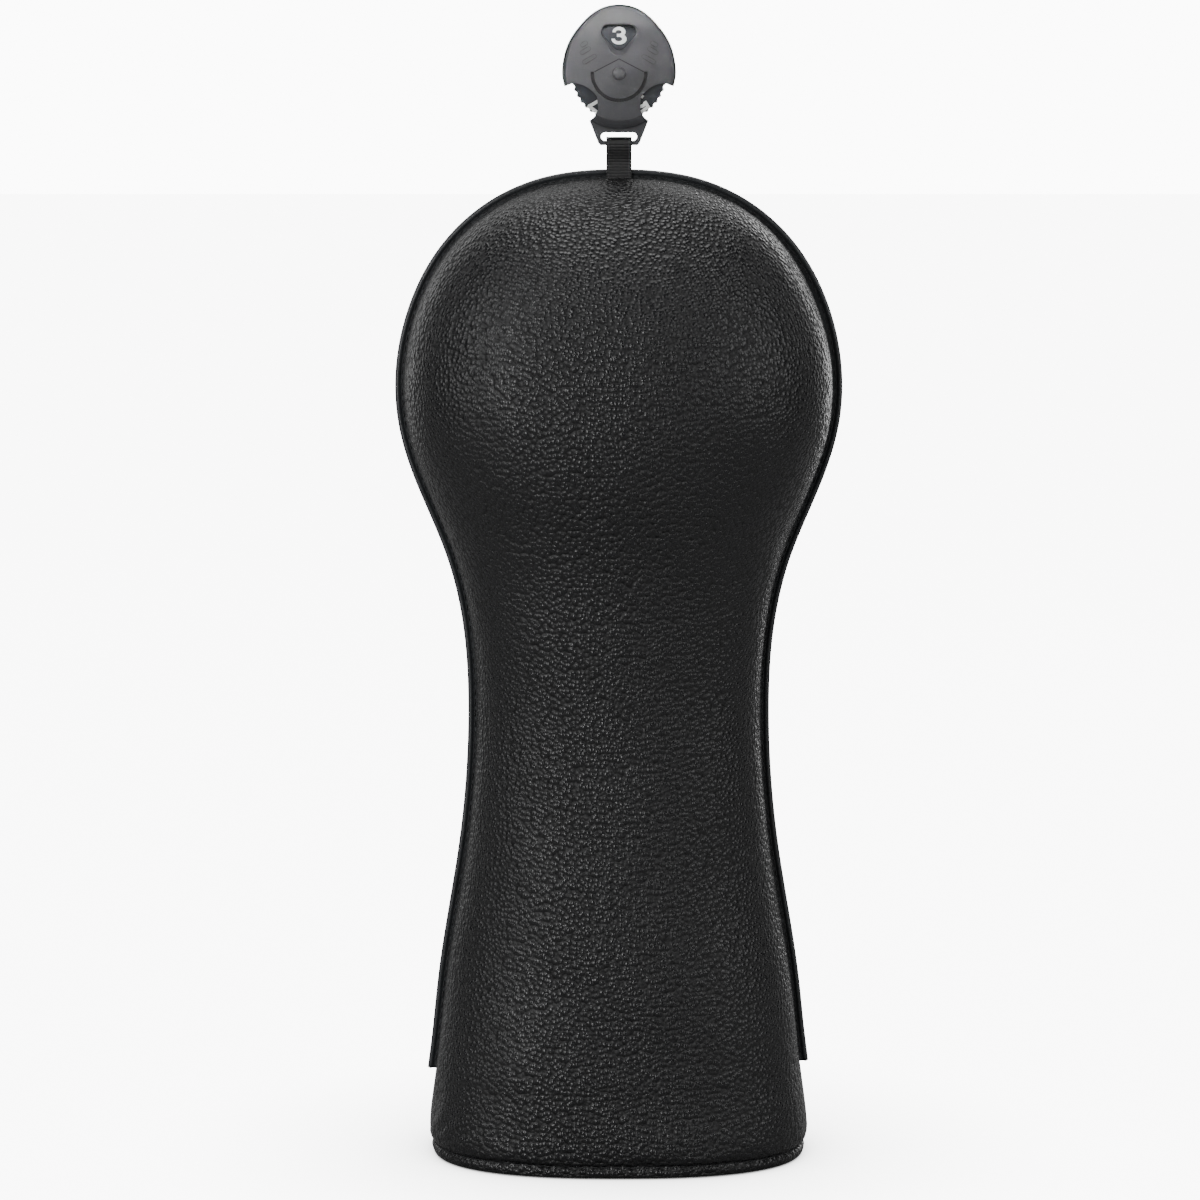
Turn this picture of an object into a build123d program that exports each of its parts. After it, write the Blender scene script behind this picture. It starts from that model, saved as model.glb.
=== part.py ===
from build123d import *
import os
from math import cos, hypot, radians, sin

# Golf club head cover: a padded two-panel leather bag with corded piping round its seam,
# a ribbon loop at the crown and a turnable number tag on the loop.
# Millimetres, +Z up, standing on its mouth at Z = 0, front towards -Y, seam in the plane Y = 0.

os.makedirs("parts", exist_ok=True)

# ---- driving sizes -------------------------------------------------------------------------
MOUTH_HALF = 63.2  # half width of the panels at the mouth
WAIST_HALF = 48.2  # half width at the neck
WAIST_Z = 152.0  # height of the narrowest place
HEAD_HALF = 72.2  # half width at the widest place of the head
HEAD_Z = 265.0  # height of the widest place
CROWN_Z = 331.3  # top of the panels
DEPTH_RATIO = 0.70  # front-to-back size over side-to-side size

LEATHER = 1.2  # coated leather skin
FOAM = 3.9  # padding
LINING = 1.6  # fleece lining
HEM = 9.0  # height of the turned hem
SEAM_HALF = 0.5  # each panel's edge stands this far from the seam plane
ALLOWANCE = 4.4  # depth of the seam allowance inside the outline
HEM_STITCH_Z = 3.9  # the hem's stitch line over the mouth edge
CLOSE = 0.03  # half the hairline between two pieces that meet in the seam plane

CORD_R = 0.5  # piping cord
BEAD_R = 0.95  # piping over the cord
BEAD_OUT = 1.75  # piping's centre line outside the panels' outline
THREAD_R = 0.18  # sewing thread
SIDES = 12  # long thin tubes have flat facets round them: a true round would mesh to slivers

RIBBON_W = 8.4  # ribbon width
RIBBON_T = 0.56  # one layer of ribbon
RIBBON_Y = 1.6  # the ribbon stands this far in front of the seam plane, clear of the piping
LOOP_RISE = 8.9  # from the ribbon's root up to the tag's bar

PLATE_T = 2.0  # tag: thickness of the back shell and its bracket
TAG_T = 6.3  # tag: both shells together
DOME_R = 130.0  # tag: radius of the front shell's slightly domed face
DOME_UP = 2.0  # the dome's highest point over the tag's reference point
DIAL_R = 15.8  # number dial
DIAL_T = 1.5
DIAL_TEETH = 44
PIVOT_UP = 0.4  # dial's axis over the tag's reference point
BAR_DOWN = 22.7  # centre of the bracket's bar under the reference point
SLOT_W = 12.0
SLOT_H = 2.8
PIN_R = 1.2

# ---- places that follow from them ----------------------------------------------------------
ROOT_Z = CROWN_Z + 2.5  # where the ribbon bends as it leaves the seam
BAR_Z = ROOT_Z + LOOP_RISE
TAG_Z = BAR_Z + BAR_DOWN
PLATE_BACK = RIBBON_Y - PLATE_T / 2  # the tag's back face, counted forward from the seam plane
PLATE_FRONT = PLATE_BACK + PLATE_T
TAG_FRONT = PLATE_BACK + TAG_T
DIAL_BACK = PLATE_FRONT + 0.3
DIAL_FRONT = DIAL_BACK + DIAL_T
POCKET = DIAL_FRONT + 0.45  # inner face of the tag's front wall

# ---- the cover's outline -------------------------------------------------------------------
# Stations from the mouth to the crown as (height, half width). Under the waist the width is a
# share of the way from waist to mouth, up to the head a share of the way from waist to head.
LOWER = [(0.0, 1.0), (0.053, 1.053), (0.158, 0.973), (0.21, 0.907), (0.408, 0.687), (0.697, 0.22)]
MIDDLE = [(0.0, 0.0), (0.23, 0.054), (0.469, 0.304), (0.708, 0.76), (0.86, 0.962)]
UPPER = [(0.0, 1.0), (0.317, 0.945), (0.618, 0.803), (0.852, 0.571), (0.956, 0.353)]
PIPED = 3  # the piping runs from this station over the crown to the same one opposite

stations = [(WAIST_HALF + (MOUTH_HALF - WAIST_HALF) * f, WAIST_Z * s) for s, f in LOWER]
stations += [
    (WAIST_HALF + (HEAD_HALF - WAIST_HALF) * f, WAIST_Z + (HEAD_Z - WAIST_Z) * s) for s, f in MIDDLE
]
stations += [(HEAD_HALF * f, HEAD_Z + (CROWN_Z - HEAD_Z) * s) for s, f in UPPER]
stations += [(0.0, CROWN_Z)]

normals = [(1.0, 0.0)]
for below, above in zip(stations, stations[2:]):
    run = above[0] - below[0]
    rise = above[1] - below[1]
    normals.append((rise / hypot(run, rise), -run / hypot(run, rise)))
normals.append((0.0, 1.0))


def outline(inset, first=0):
    """Right half of the outline as (x, z), moved inward by inset, from a station to the crown."""
    pairs = list(zip(stations, normals))[first:]
    return [(x - nx * inset, z - nz * inset) for (x, z), (nx, nz) in pairs]


def whole(inset, first=0):
    """The outline from the right side over the crown to the left side."""
    right = outline(inset, first)
    return right + [(-x, z) for x, z in reversed(right[:-1])]


def upright(forward, up=0.0):
    """An upright plane facing the front, so far forward of the seam plane."""
    return Plane(origin=(0, -forward, up), x_dir=(1, 0, 0), z_dir=(0, -1, 0))


def bulb(inset, gap, lipped=False):
    """Solid of everything behind the seam plane that lies deeper than inset inside the cover."""
    line = whole(inset)
    if lipped:
        edge = line[0][0] - 0.5
        line = [(edge, HEM_STITCH_Z)] + line[1:-1] + [(-edge, HEM_STITCH_Z)]
    middle = (HEAD_HALF + WAIST_HALF) / 2
    squeeze = (DEPTH_RATIO * middle - inset) / (middle - inset)
    right_half = Spline(*line, mode=Mode.PRIVATE).trim(0, 0.5)
    with BuildPart() as body:
        with BuildSketch(Plane.XZ):
            with BuildLine():
                add(right_half)
                if lipped:
                    ThreePointArc(line[0], (edge + 0.7, 1.9), (edge, 0))
                Polyline((line[0][0], 0), (0, 0), right_half @ 1)
            make_face()
        revolve(axis=Axis.Z, revolution_arc=180)
        scale(by=(1, squeeze, 1))
    return body.part.moved(Location((0, gap, 0)))


def strip(outer, inner, first, start, end):
    """Flat strip behind the seam plane, between two insets of the outline."""
    rim = whole(outer, first)
    core = whole(inner, first)
    with BuildPart() as flat:
        with BuildSketch(upright(-start)):
            with BuildLine():
                Spline(*rim)
                Spline(*core)
                Line(rim[0], core[0])
                Line(rim[-1], core[-1])
            make_face()
        extrude(amount=start - end)
    return flat.part


def box(x_half, y_from, y_to, z_from, z_to):
    """Block across the middle plane, for cutting."""
    block = Box(2 * x_half, y_to - y_from, z_to - z_from, mode=Mode.PRIVATE)
    return block.moved(Location((0, (y_from + y_to) / 2, (z_from + z_to) / 2)))


def tag_plane(forward, across=0.0, up=0.0, turn=0.0):
    """Plane facing the front on the tag, at a place on it, turned clockwise as seen from there."""
    return Plane(
        origin=(across, -forward, TAG_Z + up),
        x_dir=(cos(radians(turn)), 0, -sin(radians(turn))),
        z_dir=(0, -1, 0),
    )


def sag(across, up):
    """How far the tag's domed face lies behind its highest point."""
    return DOME_R - (DOME_R**2 - across**2 - (up - DOME_UP) ** 2) ** 0.5


def wedge(inset, lowest, gap):
    """Half bulb above a height."""
    return bulb(inset, gap) - box(100, -1, 100, -1, lowest)


# ---- leather panels ------------------------------------------------------------------------
PIPING_Z = stations[PIPED][1]

skin_outer = bulb(0, SEAM_HALF, lipped=True)
skin_inner = wedge(LEATHER, HEM, SEAM_HALF)
hem_inner = bulb(2 * LEATHER, SEAM_HALF) & box(100, -1, 100, -1, HEM + 1)
allowance = strip(0.5, ALLOWANCE, 0, SEAM_HALF, SEAM_HALF + LEATHER)
allowance = allowance - box(100, -1, 100, -1, HEM + 1)
closing = strip(0.95, 2 * LEATHER - 0.15, 0, CLOSE, SEAM_HALF + 0.2)
closing = closing - box(100, -1, 100, PIPING_Z - 1.5, 400)

with BuildPart() as back_panel:
    add(skin_outer)
    add(skin_inner, mode=Mode.SUBTRACT)
    # the hem is turned inward and lies double
    add(hem_inner, mode=Mode.SUBTRACT)
    # seam allowance turned inward along the seam
    add(allowance)
    # below the piping the two panels meet edge to edge
    add(closing)
back_panel.part.label = "back_panel"

with BuildPart() as front_panel:
    mirror(back_panel.part, about=Plane.XZ)
    # notch in the crown's edge where the ribbon comes out
    with BuildSketch(upright(SEAM_HALF - 0.1)):
        with Locations((0, CROWN_Z - 2)):
            Rectangle(RIBBON_W + 0.8, 6)
    extrude(amount=RIBBON_Y + RIBBON_T - SEAM_HALF + 0.3, mode=Mode.SUBTRACT)
front_panel.part.label = "front_panel"

# ---- padding and lining --------------------------------------------------------------------
foam_outer = wedge(LEATHER + 0.1, HEM + 0.4, SEAM_HALF)
foam_inner = bulb(LEATHER + FOAM, SEAM_HALF)
with BuildPart() as back_padding:
    add(foam_outer)
    add(foam_inner, mode=Mode.SUBTRACT)
    add(box(100, 0, SEAM_HALF + LEATHER + 0.1, -1, 400), mode=Mode.SUBTRACT)
back_padding.part.label = "back_padding"

with BuildPart() as front_padding:
    mirror(back_padding.part, about=Plane.XZ)
    with BuildSketch(upright(SEAM_HALF - 0.1)):
        with Locations((0, CROWN_Z - 2)):
            Rectangle(RIBBON_W + 0.8, 6)
    extrude(amount=RIBBON_Y + RIBBON_T - SEAM_HALF + 0.3, mode=Mode.SUBTRACT)
front_padding.part.label = "front_padding"

# the lining's lower edge turns outward under the padding and is caught by the hem
fleece_outer = wedge(LEATHER + FOAM + 0.15, HEM - 1.6, CLOSE)
fleece_inner = bulb(LEATHER + FOAM + 0.15 + LINING, CLOSE)
foot_outer = wedge(2 * LEATHER + 0.15, HEM - 1.6, CLOSE) & box(100, -1, 100, 0, HEM + 0.2)
with BuildPart() as back_lining:
    add(fleece_outer)
    add(foot_outer)
    add(fleece_inner, mode=Mode.SUBTRACT)
back_lining.part.label = "back_lining"

with BuildPart() as front_lining:
    mirror(back_lining.part, about=Plane.XZ)
front_lining.part.label = "front_lining"

# ---- piping --------------------------------------------------------------------------------
bead_line = [(x, 0, z) for x, z in whole(-BEAD_OUT, PIPED)]
flange = strip(-BEAD_OUT + 0.68, ALLOWANCE - 0.2, PIPED, -0.4, 0.4)

with BuildPart() as piping_cord:
    with BuildLine() as cord_path:
        Spline(*bead_line)
    with BuildSketch(Plane(origin=cord_path.line @ 0, z_dir=cord_path.line % 0)):
        RegularPolygon(CORD_R, SIDES)
    sweep(path=cord_path.line)
piping_cord.part.label = "piping_cord"

with BuildPart() as piping_cover:
    with BuildLine() as bead_path:
        Spline(*bead_line)
    with BuildSketch(Plane(origin=bead_path.line @ 0, z_dir=bead_path.line % 0)):
        RegularPolygon(BEAD_R, 2 * SIDES)
        RegularPolygon(CORD_R + 0.03, SIDES, mode=Mode.SUBTRACT)
    sweep(path=bead_path.line)
    # the strip's two layers, sewn in between the panels
    add(flange)
piping_cover.part.label = "piping_cover"

# ---- sewing threads ------------------------------------------------------------------------
with BuildPart() as seam_thread:
    with BuildLine() as thread_path:
        Spline(*[(x, -0.6, z) for x, z in whole(-0.4, PIPED)])
    with BuildSketch(Plane(origin=thread_path.line @ 0, z_dir=thread_path.line % 0)):
        RegularPolygon(THREAD_R, 8)
    sweep(path=thread_path.line)
    mirror(about=Plane.XZ)
seam_thread.part.label = "seam_thread"

hem_half = MOUTH_HALF - 0.5 + THREAD_R + 0.3
hem_deep = (MOUTH_HALF - 0.5) * DEPTH_RATIO + SEAM_HALF + THREAD_R + 0.3
with BuildPart() as hem_thread:
    with BuildLine() as hem_path:
        turns = [radians(15 * k) for k in range(24)]
        Spline(
            *[(hem_half * cos(a), hem_deep * sin(a), HEM_STITCH_Z) for a in turns], periodic=True
        )
    with BuildSketch(Plane(origin=hem_path.line @ 0, z_dir=hem_path.line % 0)):
        RegularPolygon(THREAD_R, 8)
    sweep(path=hem_path.line)
hem_thread.part.label = "hem_thread"

# ---- ribbon --------------------------------------------------------------------------------
# both tails, sewn into the seam in front of the piping
with BuildPart() as ribbon_tail:
    with BuildSketch(upright(RIBBON_Y - RIBBON_T)):
        with Locations((0, ROOT_Z - 3.5)):
            Rectangle(RIBBON_W, 6)
    extrude(amount=2 * RIBBON_T)
ribbon_tail.part.label = "ribbon_tail"

# the loop, closed round the tag's bar
eye = 1.5
with BuildPart() as ribbon_loop:
    with BuildSketch(Plane(origin=(-RIBBON_W / 2, -RIBBON_Y, BAR_Z), x_dir=(0, 1, 0), z_dir=(1, 0, 0))):
        Circle(eye + RIBBON_T)
        with BuildLine():
            Polyline(
                (-RIBBON_T, 0.2 - LOOP_RISE),
                (RIBBON_T, 0.2 - LOOP_RISE),
                (eye + RIBBON_T, -0.4),
                (-eye - RIBBON_T, -0.4),
                close=True,
            )
        make_face()
        Circle(eye, mode=Mode.SUBTRACT)
        with BuildLine():
            Polyline((0, 2.5 - LOOP_RISE), (eye, -0.3), (-eye, -0.3), close=True)
        make_face(mode=Mode.SUBTRACT)
    extrude(amount=RIBBON_W)
ribbon_loop.part.label = "ribbon_loop"

# ---- tag: back shell with the bracket --------------------------------------------------------
with BuildPart() as tag_back_shell:
    with BuildSketch(tag_plane(PLATE_BACK)):
        with BuildLine():
            Spline(
                (0, 23), (8.0, 20.7), (13.4, 15.6), (17.4, 9.0), (18.9, 1.8), (18.1, -4.0),
                tangents=[(1, 0), (-0.28, -1)],
            )
            Line((18.1, -4.0), (15.2, -2.8))
            ThreePointArc((15.2, -2.8), (11.1, -3.9), (7.3, -7.3))
            Line((7.3, -7.3), (7.0, -10.8))
            ThreePointArc((7.0, -10.8), (7.7, -13.3), (9.8, -15.3))
            Line((9.8, -15.3), (6.9, -22.6))
            Line((6.9, -22.6), (6.2, -23.4))
            Line((6.2, -23.4), (0, -23.4))
            mirror(about=Plane.YZ)
        make_face()
        with Locations((0, -BAR_DOWN + 0.7 + SLOT_H / 2)):
            SlotOverall(SLOT_W, SLOT_H, mode=Mode.SUBTRACT)
        with Locations((0, PIVOT_UP)):
            Circle(PIN_R + 0.05, mode=Mode.SUBTRACT)
    extrude(amount=PLATE_T)
    # eased edges where the ribbon runs
    slot_edges = tag_back_shell.faces().sort_by(Axis.Y)[0].inner_wires().edges()
    chamfer(slot_edges.filter_by(lambda e: e.center().Z < TAG_Z - 10), 0.25)
tag_back_shell.part.label = "tag_back_shell"

# the neck falls back toward the bracket: a turned cutter, kept to the neck alone
with BuildPart() as neck_cutter:
    with BuildSketch(Plane(origin=(0, 0, TAG_Z + PIVOT_UP), x_dir=(0, 0, -1), z_dir=(1, 0, 0))):
        with BuildLine():
            ThreePointArc((9.9, -TAG_FRONT), (15.6, 1.15 - TAG_FRONT), (18.7, -PLATE_FRONT - 0.7))
            Polyline(
                (18.7, -PLATE_FRONT - 0.7), (18.7, -TAG_FRONT - 1), (9.9, -TAG_FRONT - 1), (9.9, -TAG_FRONT)
            )
        make_face()
    revolve(axis=Axis((0, 0, TAG_Z + PIVOT_UP), (0, 1, 0)))
    add(box(12, -20, 0, TAG_Z - 20, TAG_Z - 6.6), mode=Mode.INTERSECT)

# ---- tag: front shell ------------------------------------------------------------------------
with BuildPart() as tag_front_shell:
    with BuildSketch(tag_plane(PLATE_FRONT + 0.03)):
        with BuildLine():
            Spline(
                (0, 22.4), (7.7, 20.2), (12.95, 15.2), (16.85, 8.8), (18.3, 1.8), (17.6, -3.75),
                tangents=[(1, 0), (-0.28, -1)],
            )
            Line((17.6, -3.75), (15.2, -2.8))
            ThreePointArc((15.2, -2.8), (11.1, -3.9), (7.3, -7.3))
            Line((7.3, -7.3), (7.0, -10.8))
            ThreePointArc((7.0, -10.8), (7.6, -13.0), (9.2, -14.85))
            ThreePointArc((9.2, -14.85), (4.9, -17.1), (0, -17.8))
            mirror(about=Plane.YZ)
        make_face()
    extrude(amount=TAG_FRONT - PLATE_FRONT - 0.03)
    # the face is domed
    with Locations((0, DOME_R - TAG_FRONT, TAG_Z + DOME_UP)):
        Sphere(DOME_R, mode=Mode.INTERSECT)
    # eased rim round the head
    rim = tag_front_shell.faces().sort_by(Axis.Y)[0].outer_wire().edges()
    chamfer(rim.filter_by(lambda e: e.center().Z > TAG_Z - 2), 0.6)
    # pocket for the dial
    with BuildSketch(tag_plane(PLATE_FRONT)):
        with BuildLine():
            Spline(
                (0, 20.8), (7.1, 18.7), (11.9, 14.1), (15.6, 8.0), (16.9, 1.8), (16.4, -1.5),
                tangents=[(1, 0), (-0.2, -1)],
            )
            Line((16.4, -1.5), (0, -1.5))
            mirror(about=Plane.YZ)
        make_face()
        with Locations((0, PIVOT_UP)):
            Circle(DIAL_R + 0.35)
    extrude(amount=POCKET - PLATE_FRONT, mode=Mode.SUBTRACT)
    add(neck_cutter.part, mode=Mode.SUBTRACT)
    # window: sloped walls down to an opening over the numeral
    with BuildSketch(tag_plane(TAG_FRONT + 0.01)):
        with Locations((-3.9, 14.2), (3.9, 14.2)):
            Circle(2.4)
        with Locations((0, 10.1)):
            Circle(3.9)
        make_hull()
    with BuildSketch(tag_plane(POCKET)):
        with Locations((-3.1, 14.0), (3.1, 14.0)):
            Circle(2.5)
        with Locations((0, 10.4)):
            Circle(2.4)
        make_hull()
    loft(mode=Mode.SUBTRACT)
    with BuildSketch(tag_plane(POCKET - 0.3)):
        with Locations((-3.1, 14.0), (3.1, 14.0)):
            Circle(2.5)
        with Locations((0, 10.4)):
            Circle(2.4)
        make_hull()
    extrude(amount=0.4, mode=Mode.SUBTRACT)
    # the springy tongue that carries the pivot: a groove below it and a crease above it
    with BuildSketch(tag_plane(TAG_FRONT)):
        with Locations((0, PIVOT_UP)):
            Circle(9.4)
            Circle(8.3, mode=Mode.SUBTRACT)
        with Locations((0, PIVOT_UP + 5.6)):
            Rectangle(20, 10, mode=Mode.SUBTRACT)
    extrude(amount=-1.3, mode=Mode.SUBTRACT)
    with BuildSketch(tag_plane(TAG_FRONT)):
        with BuildLine():
            crease = Polyline((-8.1, 1.0), (0, 5.2), (8.1, 1.0))
        trace(line_width=0.3)
    extrude(amount=-0.5, mode=Mode.SUBTRACT)
    # grip bars, three each side
    for across, up, length in ((9.8, 5.1, 4.9), (11.15, 7.9, 3.7), (11.6, 10.1, 2.4)):
        with BuildSketch(tag_plane(TAG_FRONT - 1.2)):
            with Locations(Location((across, up), -30), Location((-across, up), 30)):
                SlotOverall(length, 1.15)
        extrude(amount=1.6 - sag(across, up))
    # hole for the pivot pin
    with BuildSketch(tag_plane(PLATE_FRONT)):
        with Locations((0, PIVOT_UP)):
            Circle(PIN_R + 0.05)
    extrude(amount=TAG_T, mode=Mode.SUBTRACT)
tag_front_shell.part.label = "tag_front_shell"

# ---- tag: dial, numerals and pivot ------------------------------------------------------------
with BuildPart() as number_dial:
    with BuildSketch(tag_plane(DIAL_BACK, up=PIVOT_UP)):
        Circle(DIAL_R)
        with PolarLocations(DIAL_R + 0.32, DIAL_TEETH):
            Circle(0.8, mode=Mode.SUBTRACT)
        Circle(PIN_R + 0.3, mode=Mode.SUBTRACT)
    extrude(amount=DIAL_T)
number_dial.part.label = "number_dial"

# centre lines of the straight and simply curved figures, each about its own middle
STROKES = {
    4: [
        Line((0.9, -2.4), (0.9, 2.8), mode=Mode.PRIVATE),
        Line((1.1, 2.6), (-2.1, -0.9), mode=Mode.PRIVATE),
        Line((-2.4, -1.1), (2.1, -1.1), mode=Mode.PRIVATE),
    ],
    5: [
        Line((1.6, 2.25), (-1.85, 2.25), mode=Mode.PRIVATE),
        Line((-1.3, 2.3), (-1.45, 0.1), mode=Mode.PRIVATE),
        Spline((-1.5, 0.3), (0.3, 0.8), (1.8, -0.75), (-0.1, -2.3), (-1.9, -1.3), mode=Mode.PRIVATE),
    ],
    7: [
        Line((-1.9, 2.25), (2.2, 2.25), mode=Mode.PRIVATE),
        Line((1.65, 2.3), (-0.5, -2.6), mode=Mode.PRIVATE),
    ],
    2: [
        Spline((-1.75, 1.2), (0, 2.3), (1.7, 1.0), (0, -0.9), (-1.75, -2.2), mode=Mode.PRIVATE),
        Line((-2.2, -2.25), (2.0, -2.25), mode=Mode.PRIVATE),
    ],
}
with BuildPart() as dial_numerals:
    # the three is two open bowls
    with BuildSketch(tag_plane(DIAL_FRONT, 0, PIVOT_UP + 12.4)):
        with Locations((0, 1.25)):
            Ellipse(2.15, 1.65)
        with Locations((0, -1.1)):
            Ellipse(2.5, 1.8)
        with Locations((-0.15, 1.2)):
            Ellipse(1.0, 0.62, mode=Mode.SUBTRACT)
        with Locations((-0.15, -1.1)):
            Ellipse(1.2, 0.74, mode=Mode.SUBTRACT)
        with Locations((-1.8, 0.05)):
            Rectangle(2.2, 2.1, mode=Mode.SUBTRACT)
    extrude(amount=0.12)
    for place, figure in enumerate((4, 5, 7, 2), 1):
        turn = 72 * place
        across = 12.4 * sin(radians(turn))
        up = PIVOT_UP + 12.4 * cos(radians(turn))
        for stroke in STROKES[figure]:
            with BuildSketch(tag_plane(DIAL_FRONT, across, up, turn)):
                trace(stroke, line_width=1.1)
            extrude(amount=0.12)
dial_numerals.part.label = "dial_numerals"

with BuildPart() as pivot_pin:
    with BuildSketch(Plane(origin=(0, 0, TAG_Z + PIVOT_UP), x_dir=(1, 0, 0), z_dir=(0, 0, 1))):
        with BuildLine():
            Polyline((0, -TAG_FRONT - 1.2), (0, -PLATE_BACK), (PIN_R, -PLATE_BACK))
            Polyline((PIN_R, -PLATE_BACK), (PIN_R, -TAG_FRONT - 0.02), (2.05, -TAG_FRONT - 0.02))
            Spline(
                (2.05, -TAG_FRONT - 0.02), (1.5, -TAG_FRONT - 0.8), (0, -TAG_FRONT - 1.2),
                tangents=[(0, -1), (-1, 0)],
            )
        make_face()
    revolve(axis=Axis((0, 0, TAG_Z + PIVOT_UP), (0, 1, 0)))
pivot_pin.part.label = "pivot_pin"

pieces = [
    front_panel, back_panel, front_padding, back_padding, front_lining, back_lining,
    piping_cord, piping_cover, seam_thread, hem_thread, ribbon_tail, ribbon_loop,
    tag_back_shell, tag_front_shell, number_dial, dial_numerals, pivot_pin,
]
for piece in pieces:
    export_step(piece.part, f"parts/{piece.part.label}.step")
    print(piece.part.label, round(piece.part.volume, 1), len(piece.part.solids()), piece.part.is_valid)
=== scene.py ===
from math import pi, radians

import bpy
import numpy as np
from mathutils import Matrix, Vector


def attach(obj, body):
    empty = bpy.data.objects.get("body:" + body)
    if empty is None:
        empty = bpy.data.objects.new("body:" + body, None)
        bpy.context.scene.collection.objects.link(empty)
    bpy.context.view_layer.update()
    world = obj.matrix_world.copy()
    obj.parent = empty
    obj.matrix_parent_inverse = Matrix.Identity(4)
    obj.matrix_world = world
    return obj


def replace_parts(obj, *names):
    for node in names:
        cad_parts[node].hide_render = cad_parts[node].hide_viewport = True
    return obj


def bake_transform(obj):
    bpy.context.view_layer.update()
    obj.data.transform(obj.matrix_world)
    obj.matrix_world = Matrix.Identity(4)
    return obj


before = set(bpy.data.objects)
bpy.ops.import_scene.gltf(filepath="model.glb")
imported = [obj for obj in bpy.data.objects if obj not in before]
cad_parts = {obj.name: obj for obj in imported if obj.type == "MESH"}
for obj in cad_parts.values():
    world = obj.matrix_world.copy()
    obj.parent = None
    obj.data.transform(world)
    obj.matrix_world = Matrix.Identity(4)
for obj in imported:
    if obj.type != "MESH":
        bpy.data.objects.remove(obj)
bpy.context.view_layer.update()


# ---- studio ----------------------------------------------------------------------------------
# The cover stands on a white sweep, and a long lens looks down on it a little. Two tall strips in
# front draw the soft bands of light down the leather, big boxes light the crown, the sides, the
# back and the outline, and a narrow beam picks out the tag.
class Level:
    """A number or colour that changes over a surface: one output of a material's node.
    Sums and products of levels add the Math nodes that work them out."""

    def __init__(self, tree, socket=None):
        self.tree, self.socket = tree, socket

    def node(self, kind, inputs=(), out=0, **settings):
        """Add a node with its settings and the values or levels on its inputs; give one output."""
        made = self.tree.nodes.new(kind)
        for name, value in settings.items():
            setattr(made, name, value)
        for name, value in dict(inputs).items():
            if isinstance(value, Level):
                self.tree.links.new(made.inputs[name], value.socket)
            else:
                made.inputs[name].default_value = value
        return Level(self.tree, made.outputs[out])

    def maths(self, operation, *values):
        return self.node("ShaderNodeMath", enumerate(values), operation=operation)

    def __add__(self, other):
        return self.maths("ADD", self, other)

    def __sub__(self, other):
        return self.maths("SUBTRACT", self, other)

    def __rsub__(self, other):
        return self.maths("SUBTRACT", other, self)

    def __mul__(self, other):
        return self.maths("MULTIPLY", self, other)

    __radd__, __rmul__ = __add__, __mul__

    def __abs__(self):
        return self.maths("ABSOLUTE", self)

    def ease(self, low, high):
        """0 under low, 1 over high, and a smooth step between them."""
        ends = {"Value": self, "From Min": low, "From Max": high}
        return self.node("ShaderNodeMapRange", ends, interpolation_type="SMOOTHSTEP")

    def between(self, first, second):
        """A colour this far from the first to the second."""
        inputs = {"Factor": self, 6: first, 7: second}
        return self.node("ShaderNodeMix", inputs, out=2, data_type="RGBA")


def finish(name, **uniform):
    """A material, its first level to build on, and its shader, with the shader's uniform numbers set."""
    material = bpy.data.materials.new(name)
    material.use_nodes = True
    shader = material.node_tree.nodes["Principled BSDF"]
    for socket, value in uniform.items():
        shader.inputs[socket.replace("_", " ")].default_value = value
    return material, Level(material.node_tree), shader


def feed(base, shader, **levels):
    """Join levels to the shader's sockets."""
    for socket, level in levels.items():
        base.tree.links.new(shader.inputs[socket.replace("_", " ")], level.socket)


MIDDLE = (0.0, 0.0, 0.18)
TAG_TOP = (0.0, 0.0, 0.384)


def soft_box(name, at, size, power, aim=MIDDLE, spread=180):
    """A rectangular area light at a place, turned to face its aim, its beam so many degrees wide."""
    lamp = bpy.data.lights.new(name, "AREA")
    lamp.shape, lamp.size, lamp.size_y, lamp.energy = "RECTANGLE", size[0], size[1], power
    box = bpy.data.objects.new(name, lamp)
    box.location = at
    away = Vector(at) - Vector(aim)
    box.rotation_euler = away.to_track_quat("Z", "Y").to_euler()
    lamp.spread = radians(spread)
    box.visible_camera = False
    bpy.context.scene.collection.objects.link(box)


camera = bpy.data.objects.new("camera", bpy.data.cameras.new("camera"))
camera.data.lens, camera.data.sensor_width = 142.3, 36
camera.location = (-0.0063, -1.5844, 0.4117)
camera.rotation_euler = (radians(82), 0, 0)
bpy.context.scene.collection.objects.link(camera)
bpy.context.scene.camera = camera

soft_box("strip_left", (-0.53, -1.13, 0.32), (0.12, 1.1), 8.5)
soft_box("strip_right", (0.62, -1.08, 0.32), (0.08, 1.1), 2.5)
soft_box("soft_box_left", (-1.1, -0.45, 0.6), (0.5, 0.9), 4.5)
soft_box("soft_box_right", (1.1, -0.45, 0.6), (0.5, 0.9), 4.0)
soft_box("soft_box_front_top", (-0.35, -0.75, 1.3), (1.3, 0.5), 1.3)
soft_box("soft_box_top", (0.0, 0.2, 1.5), (1.2, 0.9), 15)
soft_box("soft_box_back", (0.55, 1.12, 0.4), (0.3, 1.0), 3.5)
soft_box("rim_left", (-0.95, 1.2, 0.5), (0.8, 1.4), 4.0)
soft_box("rim_right", (0.95, 1.2, 0.5), (0.8, 1.4), 4.0)
soft_box("rim_top", (0.0, 1.3, 1.0), (1.4, 0.8), 2.5)
soft_box("tag_beam", (-0.05, -0.40, 0.64), (0.08, 0.03), 0.02, aim=TAG_TOP, spread=8)

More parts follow.
